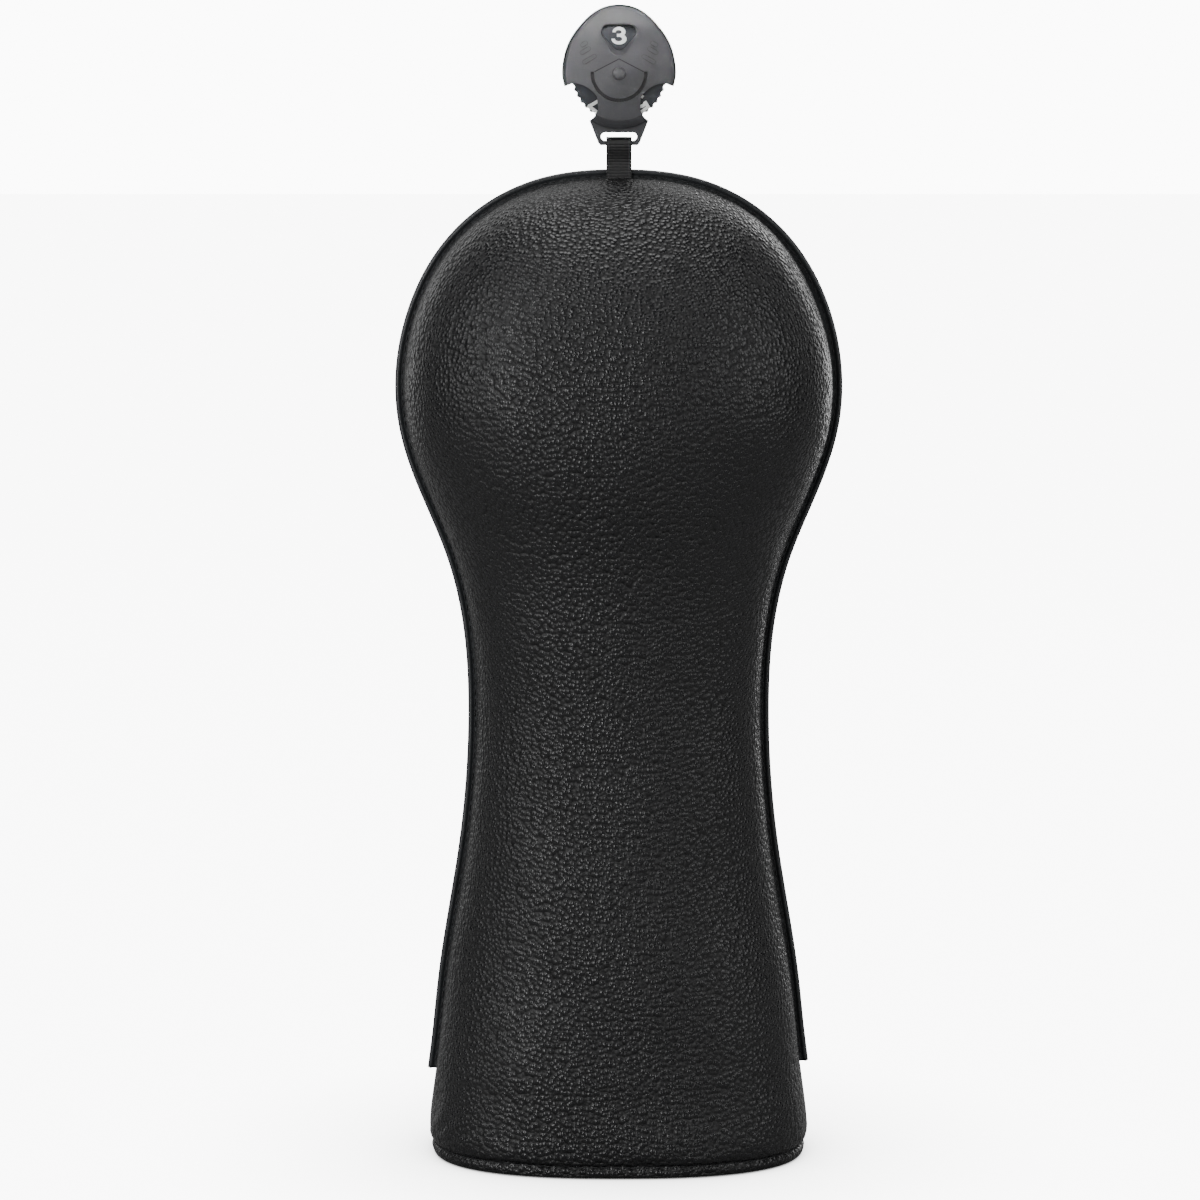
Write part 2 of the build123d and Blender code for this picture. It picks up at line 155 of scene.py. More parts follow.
# how bright the white walls and paper look, and the faint light that the walls give
WALL_WHITE = 11.0
PAPER_WHITE = 9.0
WALL_FILL = 0.025
world = bpy.data.worlds.new("white_room")
bpy.context.scene.world = world
world.use_nodes = True
air = Level(world.node_tree)
seen = air.node("ShaderNodeLightPath", out="Is Camera Ray")
room = world.node_tree.nodes["Background"]
air.tree.links.new(room.inputs["Strength"], (seen * WALL_WHITE + WALL_FILL).socket)
room.inputs["Color"].default_value = (1, 1, 1, 1)

# a hair below the hem, so that the two never share a plane
FLOOR_Z = -0.0002
REACH = 6.0
sweep_mesh = bpy.data.meshes.new("sweep")
corners = [(-REACH, -REACH), (REACH, -REACH), (REACH, REACH), (-REACH, REACH)]
sweep_mesh.from_pydata([(x, y, FLOOR_Z) for x, y in corners], [], [(0, 1, 2, 3)])
sweep = bpy.data.objects.new("sweep", sweep_mesh)
bpy.context.scene.collection.objects.link(sweep)
# glowing paper, white to the camera only, with a painted contact shadow where the cover stands close to it
white_paper, base, shader = finish("white_paper", Roughness=0.9)
shader.inputs["Base Color"].default_value = (0.3, 0.3, 0.3, 1)
shader.inputs["Emission Color"].default_value = (1, 1, 1, 1)
open_sky = base.node("ShaderNodeAmbientOcclusion", {"Distance": 0.10}, out="AO", samples=16)
seen = base.node("ShaderNodeLightPath", out="Is Camera Ray")
# painted shadow: the glow is dimmed by an occlusion node near the cover
feed(base, shader, Emission_Strength=seen * open_sky.maths("POWER", open_sky, 1.6) * PAPER_WHITE)
sweep_mesh.materials.append(white_paper)


# ---- leather panels --------------------------------------------------------------------------
# Front and back are each one panel of black coated leather with an embossed pebble grain, over 4 mm
# of foam. Edges are turned in at the piped seam; the mouth is turned under and sewn down.
STATIONS = np.array([
    (63.2, 0.0), (64.0, 8.1), (62.8, 24.0), (61.8, 31.9), (58.5, 62.0), (51.5, 105.9),
    (48.2, 152.0), (49.5, 178.0), (55.5, 205.0), (66.4, 232.0), (71.3, 249.2), (72.2, 265.0),
    (68.2, 286.0), (58.0, 306.0), (41.2, 321.5), (25.5, 328.4), (0.0, 331.3),
]) * 0.001
DEPTH_RATIO = 0.70
SEAM_HALF = 0.0005
HEM_STITCH_Z = 0.0039
HEM_PITCH = 0.0037
PIPING_Z = 0.0319


def smooth(x, low, high):
    """0 under low, 1 over high, and 3t²-2t³ between them."""
    t = np.clip((x - low) / (high - low), 0, 1)
    return t * t * (3 - 2 * t)


def rim_line():
    """Right half of the cover's outline, mouth to crown, as rows of distance along it, half width,
    height and outward direction: the natural cubic spline over chord length through the stations
    and their mirror images, whose second derivatives solve a three-band system."""
    points = np.vstack([STATIONS, STATIONS[-2::-1] * (-1, 1)])
    chord = np.r_[0, np.cumsum(np.hypot(*np.diff(points, axis=0).T))]
    gap = np.diff(chord)
    inner = np.arange(1, len(points) - 1)
    bands = np.eye(len(points))
    bands[inner, inner - 1], bands[inner, inner + 1] = gap[:-1], gap[1:]
    bands[inner, inner] = 2 * (gap[:-1] + gap[1:])
    slopes = np.diff(points, axis=0) / gap[:, None]
    bends = np.linalg.solve(bands, np.vstack([[0, 0], 6 * np.diff(slopes, axis=0), [0, 0]]))
    along = np.linspace(0, chord[len(points) // 2], 4001)
    k = np.clip(np.searchsorted(chord, along, side="right") - 1, 0, len(gap) - 1)
    b = ((along - chord[k]) / gap[k])[:, None]
    a = 1 - b
    line = a * points[k] + b * points[k + 1]
    line += ((a**3 - a) * bends[k] + (b**3 - b) * bends[k + 1]) * gap[k][:, None] ** 2 / 6
    run, rise = np.gradient(line, along, axis=0).T
    length = np.r_[0, np.cumsum(np.hypot(*np.diff(line, axis=0).T))]
    size = np.hypot(run, rise)
    return np.array([length, line[:, 0], line[:, 1], rise / size, -run / size])


RIM = rim_line()
RIM_LENGTH = RIM[0, -1]


def rim_at(distance):
    """Half width, height and outward direction at distances along the outline from the mouth."""
    return [np.interp(distance, RIM[0], row) for row in RIM[1:]]


def rim_height(z):
    """Distance along the outline at which it reaches a height."""
    return np.interp(z, RIM[2], RIM[0])


def skin(distance, turn, inset):
    """Points on the cover's skin and the way out of it, right side round the front (turn 0 to pi).
    The section is a half ellipse, squarer near the mouth: x = w cos^p, y = -(gap + 0.7 w sin^p),
    with p from 1 down to 0.8. Below the piping the two panels' edges meet."""
    w, z, out_x, out_z = rim_at(distance)
    power = 1 - 0.2 * (1 - smooth(z, 0.0, 0.075))
    gap = 0.00004 + (SEAM_HALF - 0.00004) * smooth(z, PIPING_Z - 0.006, PIPING_Z)
    c, s = np.cos(turn), np.abs(np.sin(turn))
    place = np.stack(np.broadcast_arrays(
        w * np.sign(c) * np.abs(c) ** power, -gap - DEPTH_RATIO * w * s**power, z), axis=-1)
    way = np.stack(np.broadcast_arrays(out_x * c, -out_x * s / DEPTH_RATIO, out_z + 0 * c), axis=-1)
    way /= np.linalg.norm(way, axis=-1, keepdims=True)
    return place - inset[..., None] * way, way, -place[..., 1] - gap


def graded(stops, spacings):
    """Distances whose spacing goes over smoothly from one value to the next at the stops."""
    fine = np.linspace(stops[0], stops[-1], 4000)
    count = np.r_[0, np.cumsum(np.diff(fine) / np.interp(fine[1:], stops, spacings))]
    return np.interp(np.linspace(0, count[-1], int(count[-1]) + 1), count, fine)


def grid_mesh(name, points, material, flip=False, tip=None, ring=False, caps=False):
    """Mesh over a grid of points, one face for every four neighbours. A tip closes the last row
    with triangles; a ring joins the last column to the first; caps close both end rows."""
    rows, columns = points.shape[:2]
    number = np.arange(rows * columns).reshape(rows, columns)
    if ring:
        number = np.hstack([number, number[:, :1]])
    a, b, c, d = number[:-1, :-1], number[1:, :-1], number[1:, 1:], number[:-1, 1:]
    faces = np.stack([a, b, c, d], axis=-1).reshape(-1, 4).tolist()
    places = points.reshape(-1, 3)
    if tip is not None:
        top = number[-1]
        faces += [[int(p), len(places), int(q)] for p, q in zip(top, top[1:])]
        places = np.vstack([places, tip])
    if caps:
        faces += [number[0, :columns].tolist(), number[-1, :columns][::-1].tolist()]
    if flip:
        faces = [face[::-1] for face in faces]
    mesh = bpy.data.meshes.new(name)
    mesh.from_pydata(places, [], faces)
    mesh.polygons.foreach_set("use_smooth", np.ones(len(faces), bool))
    mesh.materials.append(material)
    mesh.update()
    piece = bpy.data.objects.new(name, mesh)
    bpy.context.scene.collection.objects.link(piece)
    return piece


def thicken(piece, thickness):
    """Give a sheet its thickness, on the side away from its face."""
    wall = piece.modifiers.new("wall", "SOLIDIFY")
    wall.thickness, wall.offset, wall.use_even_offset = thickness, -1, True


def ripple(x, z, seed, shortest, longest, count=12):
    """Gentle lumps: a sum of plane waves with random directions and phases, about 1 high."""
    draw = np.random.default_rng(seed)
    total = 0
    for length, turn, phase in zip(draw.uniform(shortest, longest, count),
                                   draw.uniform(0, pi, count), draw.uniform(0, 2 * pi, count)):
        total = total + np.sin((x * np.cos(turn) + z * np.sin(turn)) * 2 * pi / length + phase)
    return total / np.sqrt(count)


def bumped(base, height, depth):
    """The normal of a surface whose height in metres is depth times the level."""
    return base.node("ShaderNodeBump", {"Height": height, "Distance": depth})


def noise(base, place, scale, detail=2.0, out=0):
    """Soft cloudy variation of about this many lumps to a metre."""
    return base.node("ShaderNodeTexNoise", {"Vector": place, "Scale": scale, "Detail": detail}, out=out)


def pebbled_leather():
    """Pebble grain of 1.5 to 2 mm. Each pebble is a dome, 1 - 3d² high at a distance d, in cells, from
    its middle, highest down the middle of each panel, where the hide is stretched least. Smaller
    domes and a fine noise roughen it. The creases between pebbles are duller, and painted shade darkens
    their colour."""
    material, base, shader = finish("pebbled_leather", IOR=1.5)
    place = base.node("ShaderNodeTexCoord", out="Object")
    drift = noise(base, place, 90.0, out="Color")
    drift = base.node("ShaderNodeVectorMath", {0: drift, 1: (0.5, 0.5, 0.5)}, operation="SUBTRACT")
    drift = base.node("ShaderNodeVectorMath", {0: drift, "Scale": 0.0011}, operation="SCALE")
    bent = base.node("ShaderNodeVectorMath", {0: place, 1: drift}, operation="ADD")
    big_cells = {"Vector": bent, "Scale": 640.0, "Randomness": 0.9}
    small_cells = {"Vector": bent, "Scale": 1700.0}
    away = base.node("ShaderNodeTexVoronoi", big_cells, out="Distance")
    small = base.node("ShaderNodeTexVoronoi", small_cells, out="Distance")
    across = base.node("ShaderNodeSeparateXYZ", {"Vector": place}, out="X")
    middle = 1 - abs(across + noise(base, place, 14.0) * 0.03 - 0.015).ease(0.012, 0.05)
    pebble = (1 - away * away * 3.0) * (0.65 + middle * 0.35)
    grain = pebble - small * small * 0.2 + noise(base, place, 3000.0) * 0.05
    crease = away.ease(0.35, 0.7)
    patch = noise(base, place, 35.0, 3.0)
    feed(base, shader,
         # painted shade: the colour is darker in the creases between pebbles
         Base_Color=crease.between((0.006, 0.006, 0.007, 1), (0.002, 0.002, 0.0024, 1)),
         Roughness=0.21 + crease * 0.25 + patch * 0.08,
         Normal=bumped(base, grain, 0.00024))
    return material


black_leather = pebbled_leather()
# angles round the front, from the right side to the left, closer together towards both seams
TURNS = np.linspace(0, 1, 101)
TURNS = pi / 2 * (0.43 * TURNS + 0.57 * TURNS**2)
TURNS = np.r_[TURNS, pi - TURNS[-2::-1]]
# the mouth's edge from the turned-in hem, round the fold, over the sewn groove and up the outside
FOLD = np.array([
    (9.0, 2.6), (7.0, 2.6), (5.0, 2.6), (3.4, 2.6), (2.0, 2.6), (0.9, 2.45), (0.3, 2.05), (0.03, 1.5),
    (0.0, 0.95), (0.15, 0.5), (0.5, 0.18), (1.1, 0.0), (1.9, -0.1), (2.7, 0.05), (3.3, 0.35),
    (3.9, 1.0), (4.4, 0.7), (5.0, 0.15), (5.8, -0.2), (7.0, -0.45), (9.0, -0.5), (12.0, -0.3),
    (18.0, -0.05), (26.0, 0.0),
]) * 0.001
FOLDED = 12
UP = np.r_[FOLD[:FOLDED, 0], graded(
    [FOLD[FOLDED, 0], 0.009, 0.02, 0.04, 0.30, RIM_LENGTH - 0.03, RIM_LENGTH - 0.0003],
    [0.0005, 0.0006, 0.0014, 0.0029, 0.0029, 0.0011, 0.0005])]


def leather_panel(name, facing, seed):
    """One padded panel. To the skin's plain shape come the fold at the mouth, the edge rolled into
    the seam as a quarter ellipse, the pull of the stitches, creases at the corners of the hem and
    slow lumps of the foam."""
    inset = np.interp(UP, FOLD[FOLDED:, 0], FOLD[FOLDED:, 1])
    inset[:FOLDED] = FOLD[:FOLDED, 1]
    place, way, depth = skin(UP[:, None], TURNS[None, :], np.repeat(inset[:, None], len(TURNS), 1))
    x, up = place[..., 0], place[..., 2]
    along = np.where(x > 0, UP[:, None], 2 * RIM_LENGTH - UP[:, None])
    piped = smooth(up, PIPING_Z - 0.004, PIPING_Z + 0.002)
    free = smooth(up, 0.004, 0.02)

    # rolled edge: deepest on the side where the piping stands off the panel
    loose = smooth(up, 0.20, 0.235) * (1 - smooth(up, 0.285, 0.32)) * smooth(x * -facing, 0.0, 0.04)
    roll = (0.0005 + 0.0008 * piped + 0.0007 * loose) + 0 * depth
    reach = 0.0016
    rolled = roll * (1 - np.sqrt(np.clip(1 - np.clip(1 - depth / reach, 0, 1) ** 2, 0, 1)))
    pull = (0.0003 * piped + 0.0012 * loose) * np.exp(-depth / 0.006)
    pucker = np.sin(along * 2 * pi / 0.0087 + 2 * np.sin(along * 41))
    pucker = pucker + np.sin(along * 2 * pi / 0.0051 + seed)
    pucker = pucker * 0.00011 * np.exp(-depth / 0.0045) * smooth(depth, 0.0005, 0.002) * piped

    # the hem: each stitch draws the leather in, and the fold's corners crease
    mouth = place[FOLDED, :, :2]
    round_mouth = np.cumsum(np.hypot(*np.diff(mouth, axis=0, prepend=mouth[:1]).T))
    over_hem = smooth(up, HEM_STITCH_Z, HEM_STITCH_Z + 0.001) * (1 - smooth(up, 0.0045, 0.0115))
    outside = (np.arange(len(UP)) >= FOLDED)[:, None]
    under_hem = smooth(UP[:, None], 0.0005, 0.002) * (up < HEM_STITCH_Z) * outside
    scallop = np.cos(round_mouth[None, :] * 2 * pi / HEM_PITCH) * 0.00009
    wander = ripple(round_mouth[None, :], up * 2, seed + 5, 0.012, 0.03) * 0.00022
    hem = (scallop + wander) * over_hem + (scallop * 0.7 + wander * 0.5) * under_hem

    corner = np.hypot(x * facing - 0.0655, (up - 0.0035) * 1.1)
    fan = np.arctan2(up - 0.0035, np.abs(x * facing - 0.0655) + 1e-6)
    fold_lines = np.sin(fan * 17 + 1.0) * np.exp(-((corner - 0.014) / 0.008) ** 2)
    fold_lines = fold_lines * 0.00022 * smooth(up, 0.0042, 0.007)

    lumps = ripple(x, up, seed, 0.045, 0.13) * 0.00045 + ripple(x, up, seed + 9, 0.018, 0.04) * 0.00010
    lumps = lumps * free * smooth(depth, 0.0, 0.012)

    place = place + way * (pucker + hem + fold_lines + lumps - rolled - pull)[..., None]
    tip = np.array([0.0, -SEAM_HALF, STATIONS[-1, 1] - 0.0013])
    if facing < 0:
        # the ribbon comes out between this edge and the piping
        room = (1 - smooth(np.abs(place[..., 0]), 0.0046, 0.0085)) * smooth(up, 0.322, 0.327)
        place[..., 1] -= 0.00185 * room * np.exp(-(depth / 0.007) ** 2)
        tip[1] -= 0.00185
    place[..., 1] *= -facing
    tip[1] *= -facing
    panel = grid_mesh(name, place, black_leather, flip=facing > 0, tip=tip)
    thicken(panel, 0.0011)
    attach(panel, "cover")
    return panel


front_leather = leather_panel("front_leather", -1, 3)
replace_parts(front_leather, "front_panel", "front_padding")
back_leather = leather_panel("back_leather", 1, 8)
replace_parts(back_leather, "back_panel", "back_padding")


# ---- lining ----------------------------------------------------------------------------------
# Black brushed fleece, one half behind each panel. Its lower edge is turned out under the foam and
# caught in the hem's stitching.
def brushed_fleece():
    """Short matted pile: clumps of a few millimetres with fine fibres over them."""
    material, base, shader = finish("brushed_fleece", Sheen_Weight=0.4, Sheen_Roughness=0.5)
    place = base.node("ShaderNodeTexCoord", out="Object")
    clump = noise(base, place, 420.0, 4.0)
    pile = noise(base, place, 2600.0, 3.0)
    height = clump * 0.7 + pile * 0.3
    feed(base, shader,
         Base_Color=height.ease(0.3, 0.7).between((0.012, 0.012, 0.014, 1), (0.05, 0.05, 0.055, 1)),
         Roughness=0.85 + pile * 0.12,
         Normal=bumped(base, height, 0.0009))
    return material


fleece = brushed_fleece()
FOOT = np.array([(7.9, 3.0), (7.6, 4.2), (7.6, 5.4), (8.0, 6.4), (9.0, 6.85)]) * 0.001


def lining_half(name, facing):
    """The skin's shape 6.85 mm further in, with its foot turned outward at the mouth. The two halves
    close on each other in the seam plane."""
    up = np.r_[FOOT[:, 0], graded([0.0105, RIM_LENGTH - 0.03, RIM_LENGTH - 0.001], [0.004, 0.004, 0.0012])]
    inset = np.r_[FOOT[:, 1], np.full(len(up) - len(FOOT), FOOT[-1, 1])]
    turns = TURNS[::3]
    place, way, depth = skin(up[:, None], turns[None, :], np.repeat(inset[:, None], len(turns), 1))
    place += way * (ripple(place[..., 0], place[..., 2], 21, 0.02, 0.05) * 0.0002)[..., None]
    place[..., 1] = (place[..., 1] + SEAM_HALF * np.exp(-depth / 0.004)).clip(max=0.00003) * -facing
    tip = np.array([0.0, 0.0, STATIONS[-1, 1] - FOOT[-1, 1]])
    half = grid_mesh(name, place, fleece, flip=facing < 0, tip=tip)
    thicken(half, 0.0014)
    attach(half, "cover")
    return half


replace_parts(lining_half("front_fleece", -1), "front_lining")
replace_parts(lining_half("back_fleece", 1), "back_lining")


# ---- piping ----------------------------------------------------------------------------------
# A strip of smooth black coated leather folded round a cotton cord and sewn into the seam from one
# side over the crown to the other. Both ends are cut square a little over an inch above the mouth.
def over_crown(first, last, spacing, out):
    """Points along the whole outline from a distance on the right side to one on the left, moved
    outward, with their distances along it and the outward directions there."""
    along = np.linspace(first, 2 * RIM_LENGTH - last, int((2 * RIM_LENGTH - last - first) / spacing))
    side = np.where(along < RIM_LENGTH, 1.0, -1.0)
    w, z, out_x, out_z = rim_at(np.where(side > 0, along, 2 * RIM_LENGTH - along))
    way = np.stack([side * out_x, 0 * z, out_z], axis=-1)
    place = np.stack([side * w, 0 * z, z], axis=-1) + way * out
    return along, place, way


def along_path(name, path, out, side, profile, material):
    """A profile carried along a path: each ring is path + across * out + up * side."""
    points = path[:, None, :] + profile[..., :1] * out[:, None, :] + profile[..., 1:] * side[:, None, :]
    return grid_mesh(name, points, material, ring=True, caps=True)


def smooth_coating():
    """Smooth polyurethane skin: near-black, fairly glossy, with faint stretch lines."""
    material, base, shader = finish("smooth_coating", IOR=1.5)
    place = base.node("ShaderNodeTexCoord", out="Object")
    faint = noise(base, place, 700.0, 3.0)
    feed(base, shader,
         Base_Color=faint.between((0.020, 0.022, 0.024, 1), (0.040, 0.043, 0.046, 1)),
         Roughness=0.30 + faint * 0.12,
         Normal=bumped(base, faint, 0.00006))
    return material


def twisted_cotton():
    """Undyed cotton, darker between its strands."""
    material, base, shader = finish("twisted_cotton")
    place = base.node("ShaderNodeTexCoord", out="Object")
    fibre = noise(base, place, 3500.0, 3.0)
    feed(base, shader,
         Base_Color=fibre.between((0.02, 0.02, 0.02, 1), (0.11, 0.105, 0.1, 1)),
         Roughness=0.8 + fibre * 0.15,
         Normal=bumped(base, fibre, 0.0001))
    return material


PIPING_OUT = 0.00175
PIPING_R = 0.00095
PIPING_STEP = 0.0012
CORD_R = 0.0005
CORD_TWIST = 0.006
ENDS = rim_height(0.0300), rim_height(0.0275)
round_part = np.radians(np.linspace(152, -152, 23))
strip = np.vstack([
    [(-0.0059, 0.00038), (-0.0035, 0.0004), (-0.0014, 0.00042)],
    np.stack([np.cos(round_part), np.sin(round_part)], axis=-1) * PIPING_R,
    [(-0.0014, -0.00042), (-0.0035, -0.0004), (-0.0059, -0.00038)],
])
along, path, way = over_crown(*ENDS, PIPING_STEP, PIPING_OUT)
# the free ends spring out of the seam a little
from_end = np.minimum(along - along[0], along[-1] - along)
path += way * (0.0002 * (1 - smooth(from_end, 0.0, 0.016)))[:, None]
path[:, 1] += 0.00012 * np.sin(along * 190) + 0.0001 * np.sin(along * 83)
forward = np.tile([0.0, 1.0, 0.0], (len(path), 1))
piping = along_path("piping", path, way, forward, np.tile(strip, (len(path), 1, 1)), smooth_coating())
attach(piping, "cover")
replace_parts(piping, "piping_cover")

# the core shows a little at both ends; its three plies turn once in each twist
run = np.gradient(path, axis=0)
run /= np.linalg.norm(run, axis=1, keepdims=True)
path = np.vstack([path[0] - run[0] * 0.0003, path, path[-1] + run[-1] * 0.0003])
way, forward = np.vstack([way[0], way, way[-1]]), np.tile([0.0, 1.0, 0.0], (len(path), 1))
angle = np.radians(np.arange(0, 360, 20))
lay = np.arange(len(path)) * PIPING_STEP * 2 * pi / CORD_TWIST
radius = CORD_R - 0.00011 * np.abs(np.cos(1.5 * (angle[None, :] - lay[:, None])))
three_ply = np.stack([np.cos(angle) * radius, np.sin(angle) * radius], axis=-1)
core = along_path("piping_core", path, way, forward, three_ply, twisted_cotton())
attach(core, "cover")
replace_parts(core, "piping_cord")


# ---- sewing ----------------------------------------------------------------------------------
# Black bonded thread. One row on each face holds panel and piping together in the seam's groove;
# one row goes all round the mouth and holds the hem, with its ends knotted at the front left.
def bonded_thread():
    """Black polyester thread, slightly glossy, with the ridges of its twist."""
    material, base, shader = finish("bonded_thread")
    place = base.node("ShaderNodeTexCoord", out="Object")
    twist = noise(base, place, 5200.0, 2.0)
    feed(base, shader,
         Base_Color=twist.between((0.004, 0.004, 0.005, 1), (0.02, 0.02, 0.022, 1)),
         Roughness=0.42 + twist * 0.2,
         Normal=bumped(base, twist, 0.00008))
    return material


thread = bonded_thread()
RINGS = 9
SIDES = 6


def stitches(name, paths, length_share, radius, sink):
    """Rows of stitches along lines of (middle, direction, way out) arrays. Each stitch is a tube of
    six sides whose line is middle + direction * a + out * lift, where lift is highest in the
    middle and goes down into the leather at both ends, and whose ends close to a point."""
    middle, run, out = (np.concatenate(rows) for rows in zip(*paths))
    a = np.linspace(-1, 1, RINGS)
    half = np.linalg.norm(run, axis=1)[:, None] * length_share / 2
    run = run / np.linalg.norm(run, axis=1, keepdims=True)
    side = np.cross(run, out)
    lift = radius * 0.7 - (radius + sink) * a**4
    thick = radius * np.sqrt(np.clip(1 - 0.96 * a**8, 0, 1))
    line = middle[:, None] + run[:, None] * (half * a)[..., None] + out[:, None] * lift[None, :, None]
    turn = np.radians(np.arange(0, 360, 360 // SIDES))
    ring = np.cos(turn)[:, None] * out[:, None, None] + np.sin(turn)[:, None] * side[:, None, None]
    points = line[:, :, None] + thick[None, :, None, None] * ring
    count = len(middle)
    number = np.arange(RINGS * SIDES).reshape(RINGS, SIDES)
    number = np.hstack([number, number[:, :1]])
    p, q, r, t = number[:-1, :-1], number[:-1, 1:], number[1:, 1:], number[1:, :-1]
    starts = np.arange(count)[:, None] * RINGS * SIDES
    faces = np.stack([p, q, r, t], -1).reshape(-1, 4)
    faces = (faces[None] + starts[:, :, None]).reshape(-1, 4).tolist()
    last_ring = (RINGS - 1) * SIDES
    ends = np.vstack([starts + np.arange(SIDES)[::-1], starts + last_ring + np.arange(SIDES)]).tolist()
    mesh = bpy.data.meshes.new(name)
    mesh.from_pydata(points.reshape(-1, 3), [], faces + ends)
    mesh.polygons.foreach_set("use_smooth", np.ones(len(mesh.polygons), bool))
    mesh.materials.append(thread)
    row = bpy.data.objects.new(name, mesh)
    bpy.context.scene.collection.objects.link(row)
    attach(row, "cover")
    return row


SEAM_PITCH = 0.0036
KNOT_X = -0.0366
rows = []
for facing in (-1, 1):
    _, path, _ = over_crown(ENDS[0] + 0.004, ENDS[1] + 0.004, SEAM_PITCH, 0.00042)
    path[:, 1] = facing * SEAM_HALF
    clear = (np.abs(path[:, 0]) > 0.0052) | (facing > 0) | (path[:, 2] < 0.3)
    run = np.gradient(path, axis=0)
    rows.append((path[clear], run[clear], np.tile([0.0, facing, 0.0], (clear.sum(), 1))))
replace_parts(stitches("seam_stitches", rows, 0.74, 0.0002, 0.00008), "seam_thread")

rows = []
for facing in (-1, 1):
    fine = np.linspace(0.02, pi - 0.02, 400)
    place, way, _ = skin(np.full(400, HEM_STITCH_Z), fine, np.full(400, 0.00085))
    length = np.r_[0, np.cumsum(np.linalg.norm(np.diff(place, axis=0), axis=1))]
    at = np.arange(HEM_PITCH / 2, length[-1], HEM_PITCH)
    middle = np.stack([np.interp(at, length, place[:, k]) for k in range(3)], axis=-1)
    out = np.stack([np.interp(at, length, way[:, k]) for k in range(3)], axis=-1)
    run = np.gradient(middle, axis=0)
    if facing < 0:
        # the knot is three short crossed stitches
        knot = np.argmin(np.abs(middle[:, 0] - KNOT_X))
        extra = middle[[knot] * 3] + [[0.0003, 0, -0.0004], [-0.0002, 0, 0.0003], [0.0010, 0, -0.0009]]
        lean = run[[knot] * 3] + [[0, 0, 0.0012], [0, 0, -0.0014], [0.0004, 0, 0.0022]]
        middle, run = np.vstack([middle, extra]), np.vstack([run, lean])
        out = np.vstack([out, out[[knot] * 3]])
    flip = np.array([1.0, -facing, 1.0])
    rows.append((middle * flip, run * flip * -facing, out * flip))
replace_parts(stitches("hem_stitches", rows, 0.78, 0.00023, 0.00012), "hem_thread")


# ---- ribbon ----------------------------------------------------------------------------------
# One length of black grosgrain, 8.4 mm wide, folded over the tag's bar. Both tails go down together
# in front of the piping and are sewn into the seam.
RIBBON_T = 0.00056
RIBBON_HALF = 0.0042
RIB_PITCH = 0.00098
RIBBON_Y = -0.0016
EYE = 0.00178
BAR_Z = 0.3427
FOOT_Z = 0.3276
PARTING_Z = 0.3358


def ribbon_line(count):
    """Front tail up, half circle over the bar, back tail down, in the plane x = 0. Each tail stands
    off the middle by half its thickness and eases out to the eye's radius at the bar."""
    up = np.linspace(FOOT_Z, BAR_Z, count)
    off = RIBBON_T / 2 + 0.00003 + (EYE - RIBBON_T / 2) * smooth(up, PARTING_Z, BAR_Z)
    over = np.linspace(0, pi, count // 3)[1:-1]
    y = np.r_[-off, -EYE * np.cos(over), off[::-1]]
    z = np.r_[up, BAR_Z + EYE * np.sin(over), up[::-1]]
    line = np.stack([0 * y, y + RIBBON_Y, z], axis=-1)
    length = np.r_[0, np.cumsum(np.linalg.norm(np.diff(line, axis=0), axis=1))]
    even = np.linspace(0, length[-1], int(length[-1] / (RIB_PITCH / 8)))
    return even, np.stack([np.interp(even, length, line[:, k]) for k in range(3)], axis=-1)


def grosgrain():
    """Ribbed black weave: fine warp yarns along the ribbon and a row of small bright catch
    stitches just inside each edge."""
    material, base, shader = finish("grosgrain", Sheen_Weight=0.03, Sheen_Roughness=0.4)
    weave = base.node("ShaderNodeUVMap", uv_map="weave")
    across = base.node("ShaderNodeSeparateXYZ", {"Vector": weave}, out="X")
    along = base.node("ShaderNodeSeparateXYZ", {"Vector": weave}, out="Y")
    warp = (across * 2 * pi * 34).maths("SINE", across * 2 * pi * 34)
    yarn = (along * 2 * pi * 2).maths("SINE", along * 2 * pi * 2) * 0.5 + 0.5
    catch = (1 - abs(abs(across - 0.5) - 0.40).ease(0.0, 0.022)) * yarn.ease(0.4, 0.8)
    feed(base, shader,
         Base_Color=catch.between((0.0015, 0.0015, 0.002, 1), (0.06, 0.06, 0.065, 1)),
         Roughness=0.38 + yarn * 0.12 - catch * 0.1,
         Normal=bumped(base, warp * 0.5 + yarn * 0.35 + catch, 0.00005))
    return material


even, line = ribbon_line(240)
run = np.gradient(line, axis=0)
run /= np.linalg.norm(run, axis=1, keepdims=True)
out = np.stack([0 * even, -run[:, 2], run[:, 1]], axis=-1)
rib = np.abs(np.sin(even * pi / RIB_PITCH)) ** 0.7
edge = np.array([-1.0, -0.985, -0.955, -0.90, -0.82, -0.5, 0.0, 0.5, 0.82, 0.90, 0.955, 0.985, 1.0])
swell = np.array([0.75, 0.95, 1.0, 1.05, 0.9, 1.0, 1.0, 1.0, 0.9, 1.05, 1.0, 0.95, 0.75])
half_t = (0.00016 + 0.00012 * rib)[:, None] * swell[None, :]
front_face = np.stack([np.tile(edge * RIBBON_HALF, (len(even), 1)), half_t], axis=-1)
back_face = np.stack([front_face[:, ::-1, 0], -half_t[:, ::-1]], axis=-1)
section = np.concatenate([front_face, back_face], axis=1)
x_way = np.tile([1.0, 0.0, 0.0], (len(even), 1))
ribbon = along_path("ribbon", line, x_way, out, section, grosgrain())
weave = ribbon.data.uv_layers.new(name="weave")
corner = np.zeros(len(ribbon.data.loops), np.int64)
ribbon.data.loops.foreach_get("vertex_index", corner)
share = np.r_[edge, edge[::-1]] * 0.5 + 0.5
texture = np.stack([np.tile(share, len(even)), np.repeat(even / RIB_PITCH, len(share))], axis=-1)
weave.data.foreach_set("uv", texture[corner].ravel())
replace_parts(ribbon, "ribbon_tail", "ribbon_loop")
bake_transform(ribbon)
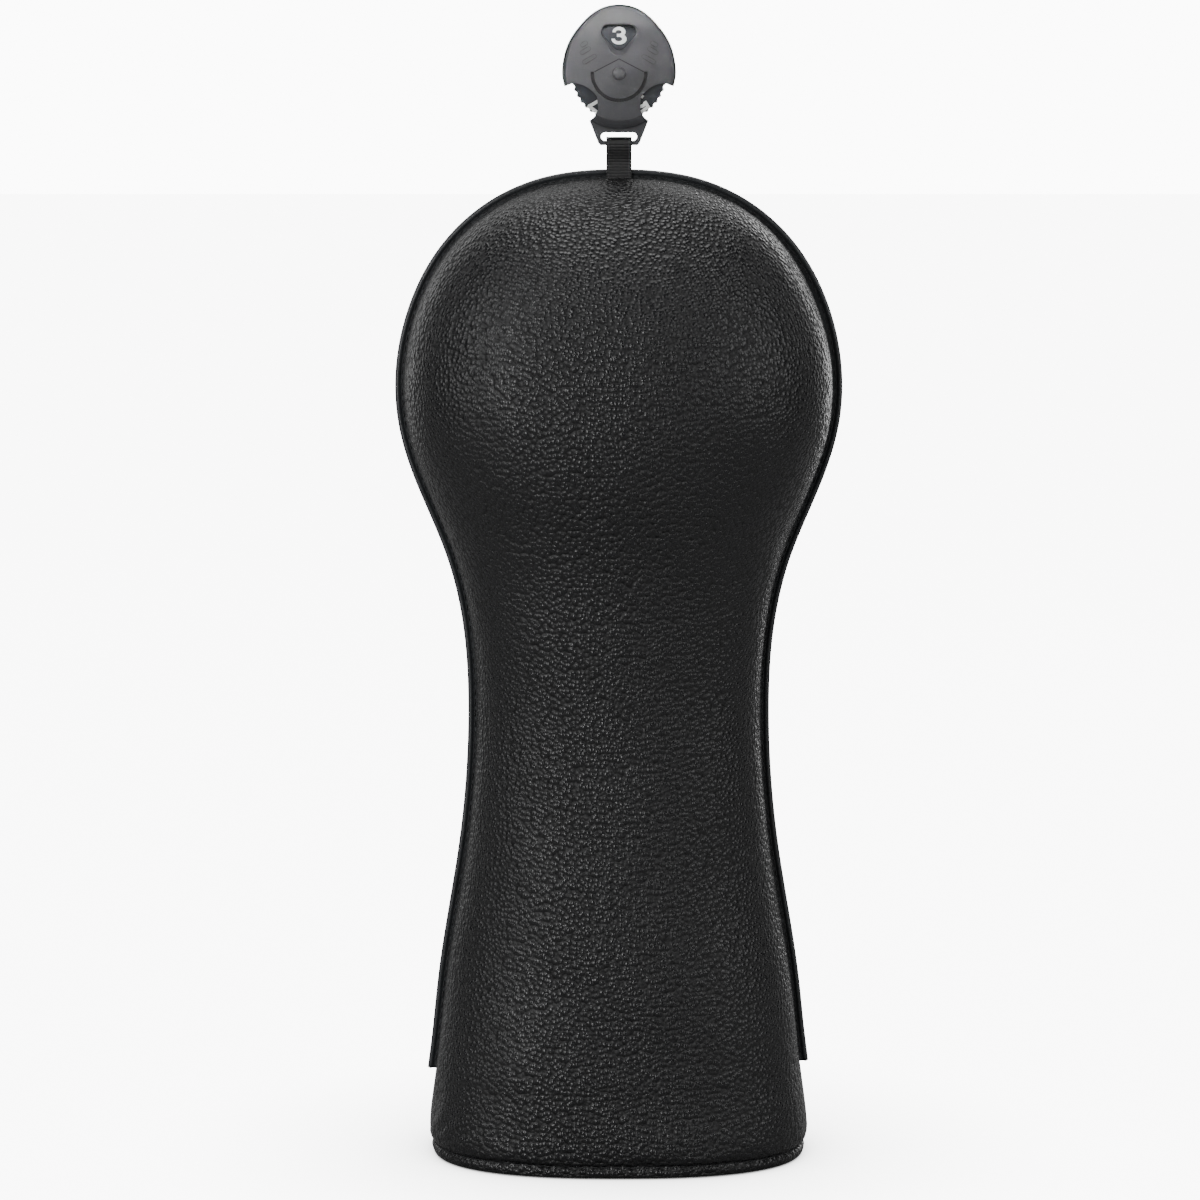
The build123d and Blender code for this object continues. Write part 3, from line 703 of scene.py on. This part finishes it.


# ---- number tag ------------------------------------------------------------------------------
# Two shells moulded in grey plastic, riveted together by the pin that the dial turns on. Their
# outer faces are finely spark-textured; the real pin's head is smooth, but here it has the same textured
# plastic.
def moulded_plastic(name, colour, spark, roughness):
    """Moulded plastic with a spark-eroded texture and slight clouding of its colour. In grooves and
    corners narrower than about 1 mm it is duller, and painted shade from an occlusion node darkens its
    colour."""
    material, base, shader = finish(name, IOR=1.49)
    place = base.node("ShaderNodeTexCoord", out="Object")
    cloud = noise(base, place, 160.0, 3.0)
    erosion = noise(base, place, 3400.0, 3.0)
    open_face = base.node("ShaderNodeAmbientOcclusion", {"Distance": 0.0012}, out="AO", samples=8)
    # painted shade: an occlusion node darkens the colour in grooves and corners, which are also made
    # duller
    groove_shade = 1 - open_face.ease(0.45, 0.9)
    clouding = (cloud * 0.6 + erosion * 0.4).ease(0.3, 0.7) * (1 - groove_shade)
    darker = tuple(part * 0.25 for part in colour) + (1,)
    feed(base, shader,
         Base_Color=(clouding * 0.25 + (1 - groove_shade) * 0.75).between(darker, colour + (1,)),
         Roughness=roughness + erosion * 0.14 + groove_shade * 0.4,
         Normal=bumped(base, erosion, spark))
    return material


grey_plastic = moulded_plastic("grey_plastic", (0.055, 0.056, 0.061), 0.00004, 0.36)
for node in ("tag_back_shell", "tag_front_shell", "pivot_pin"):
    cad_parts[node].data.materials.clear()
    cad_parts[node].data.materials.append(grey_plastic)


# ---- dial ------------------------------------------------------------------------------------
# A disc of darker plastic with a milled edge, held between the shells and turned with a fingertip
# at its sides. Its numerals are pad-printed in white.
dial_plastic = moulded_plastic("dial_plastic", (0.018, 0.021, 0.027), 0.00003, 0.34)
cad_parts["number_dial"].data.materials.clear()
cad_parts["number_dial"].data.materials.append(dial_plastic)

white_ink, base, shader = finish("white_ink", IOR=1.45)
place = base.node("ShaderNodeTexCoord", out="Object")
screen = noise(base, place, 4000.0, 2.0)
feed(base, shader,
     Base_Color=screen.between((0.78, 0.78, 0.77, 1), (0.9, 0.9, 0.9, 1)),
     Roughness=0.38 + screen * 0.12)
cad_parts["dial_numerals"].data.materials.clear()
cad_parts["dial_numerals"].data.materials.append(white_ink)
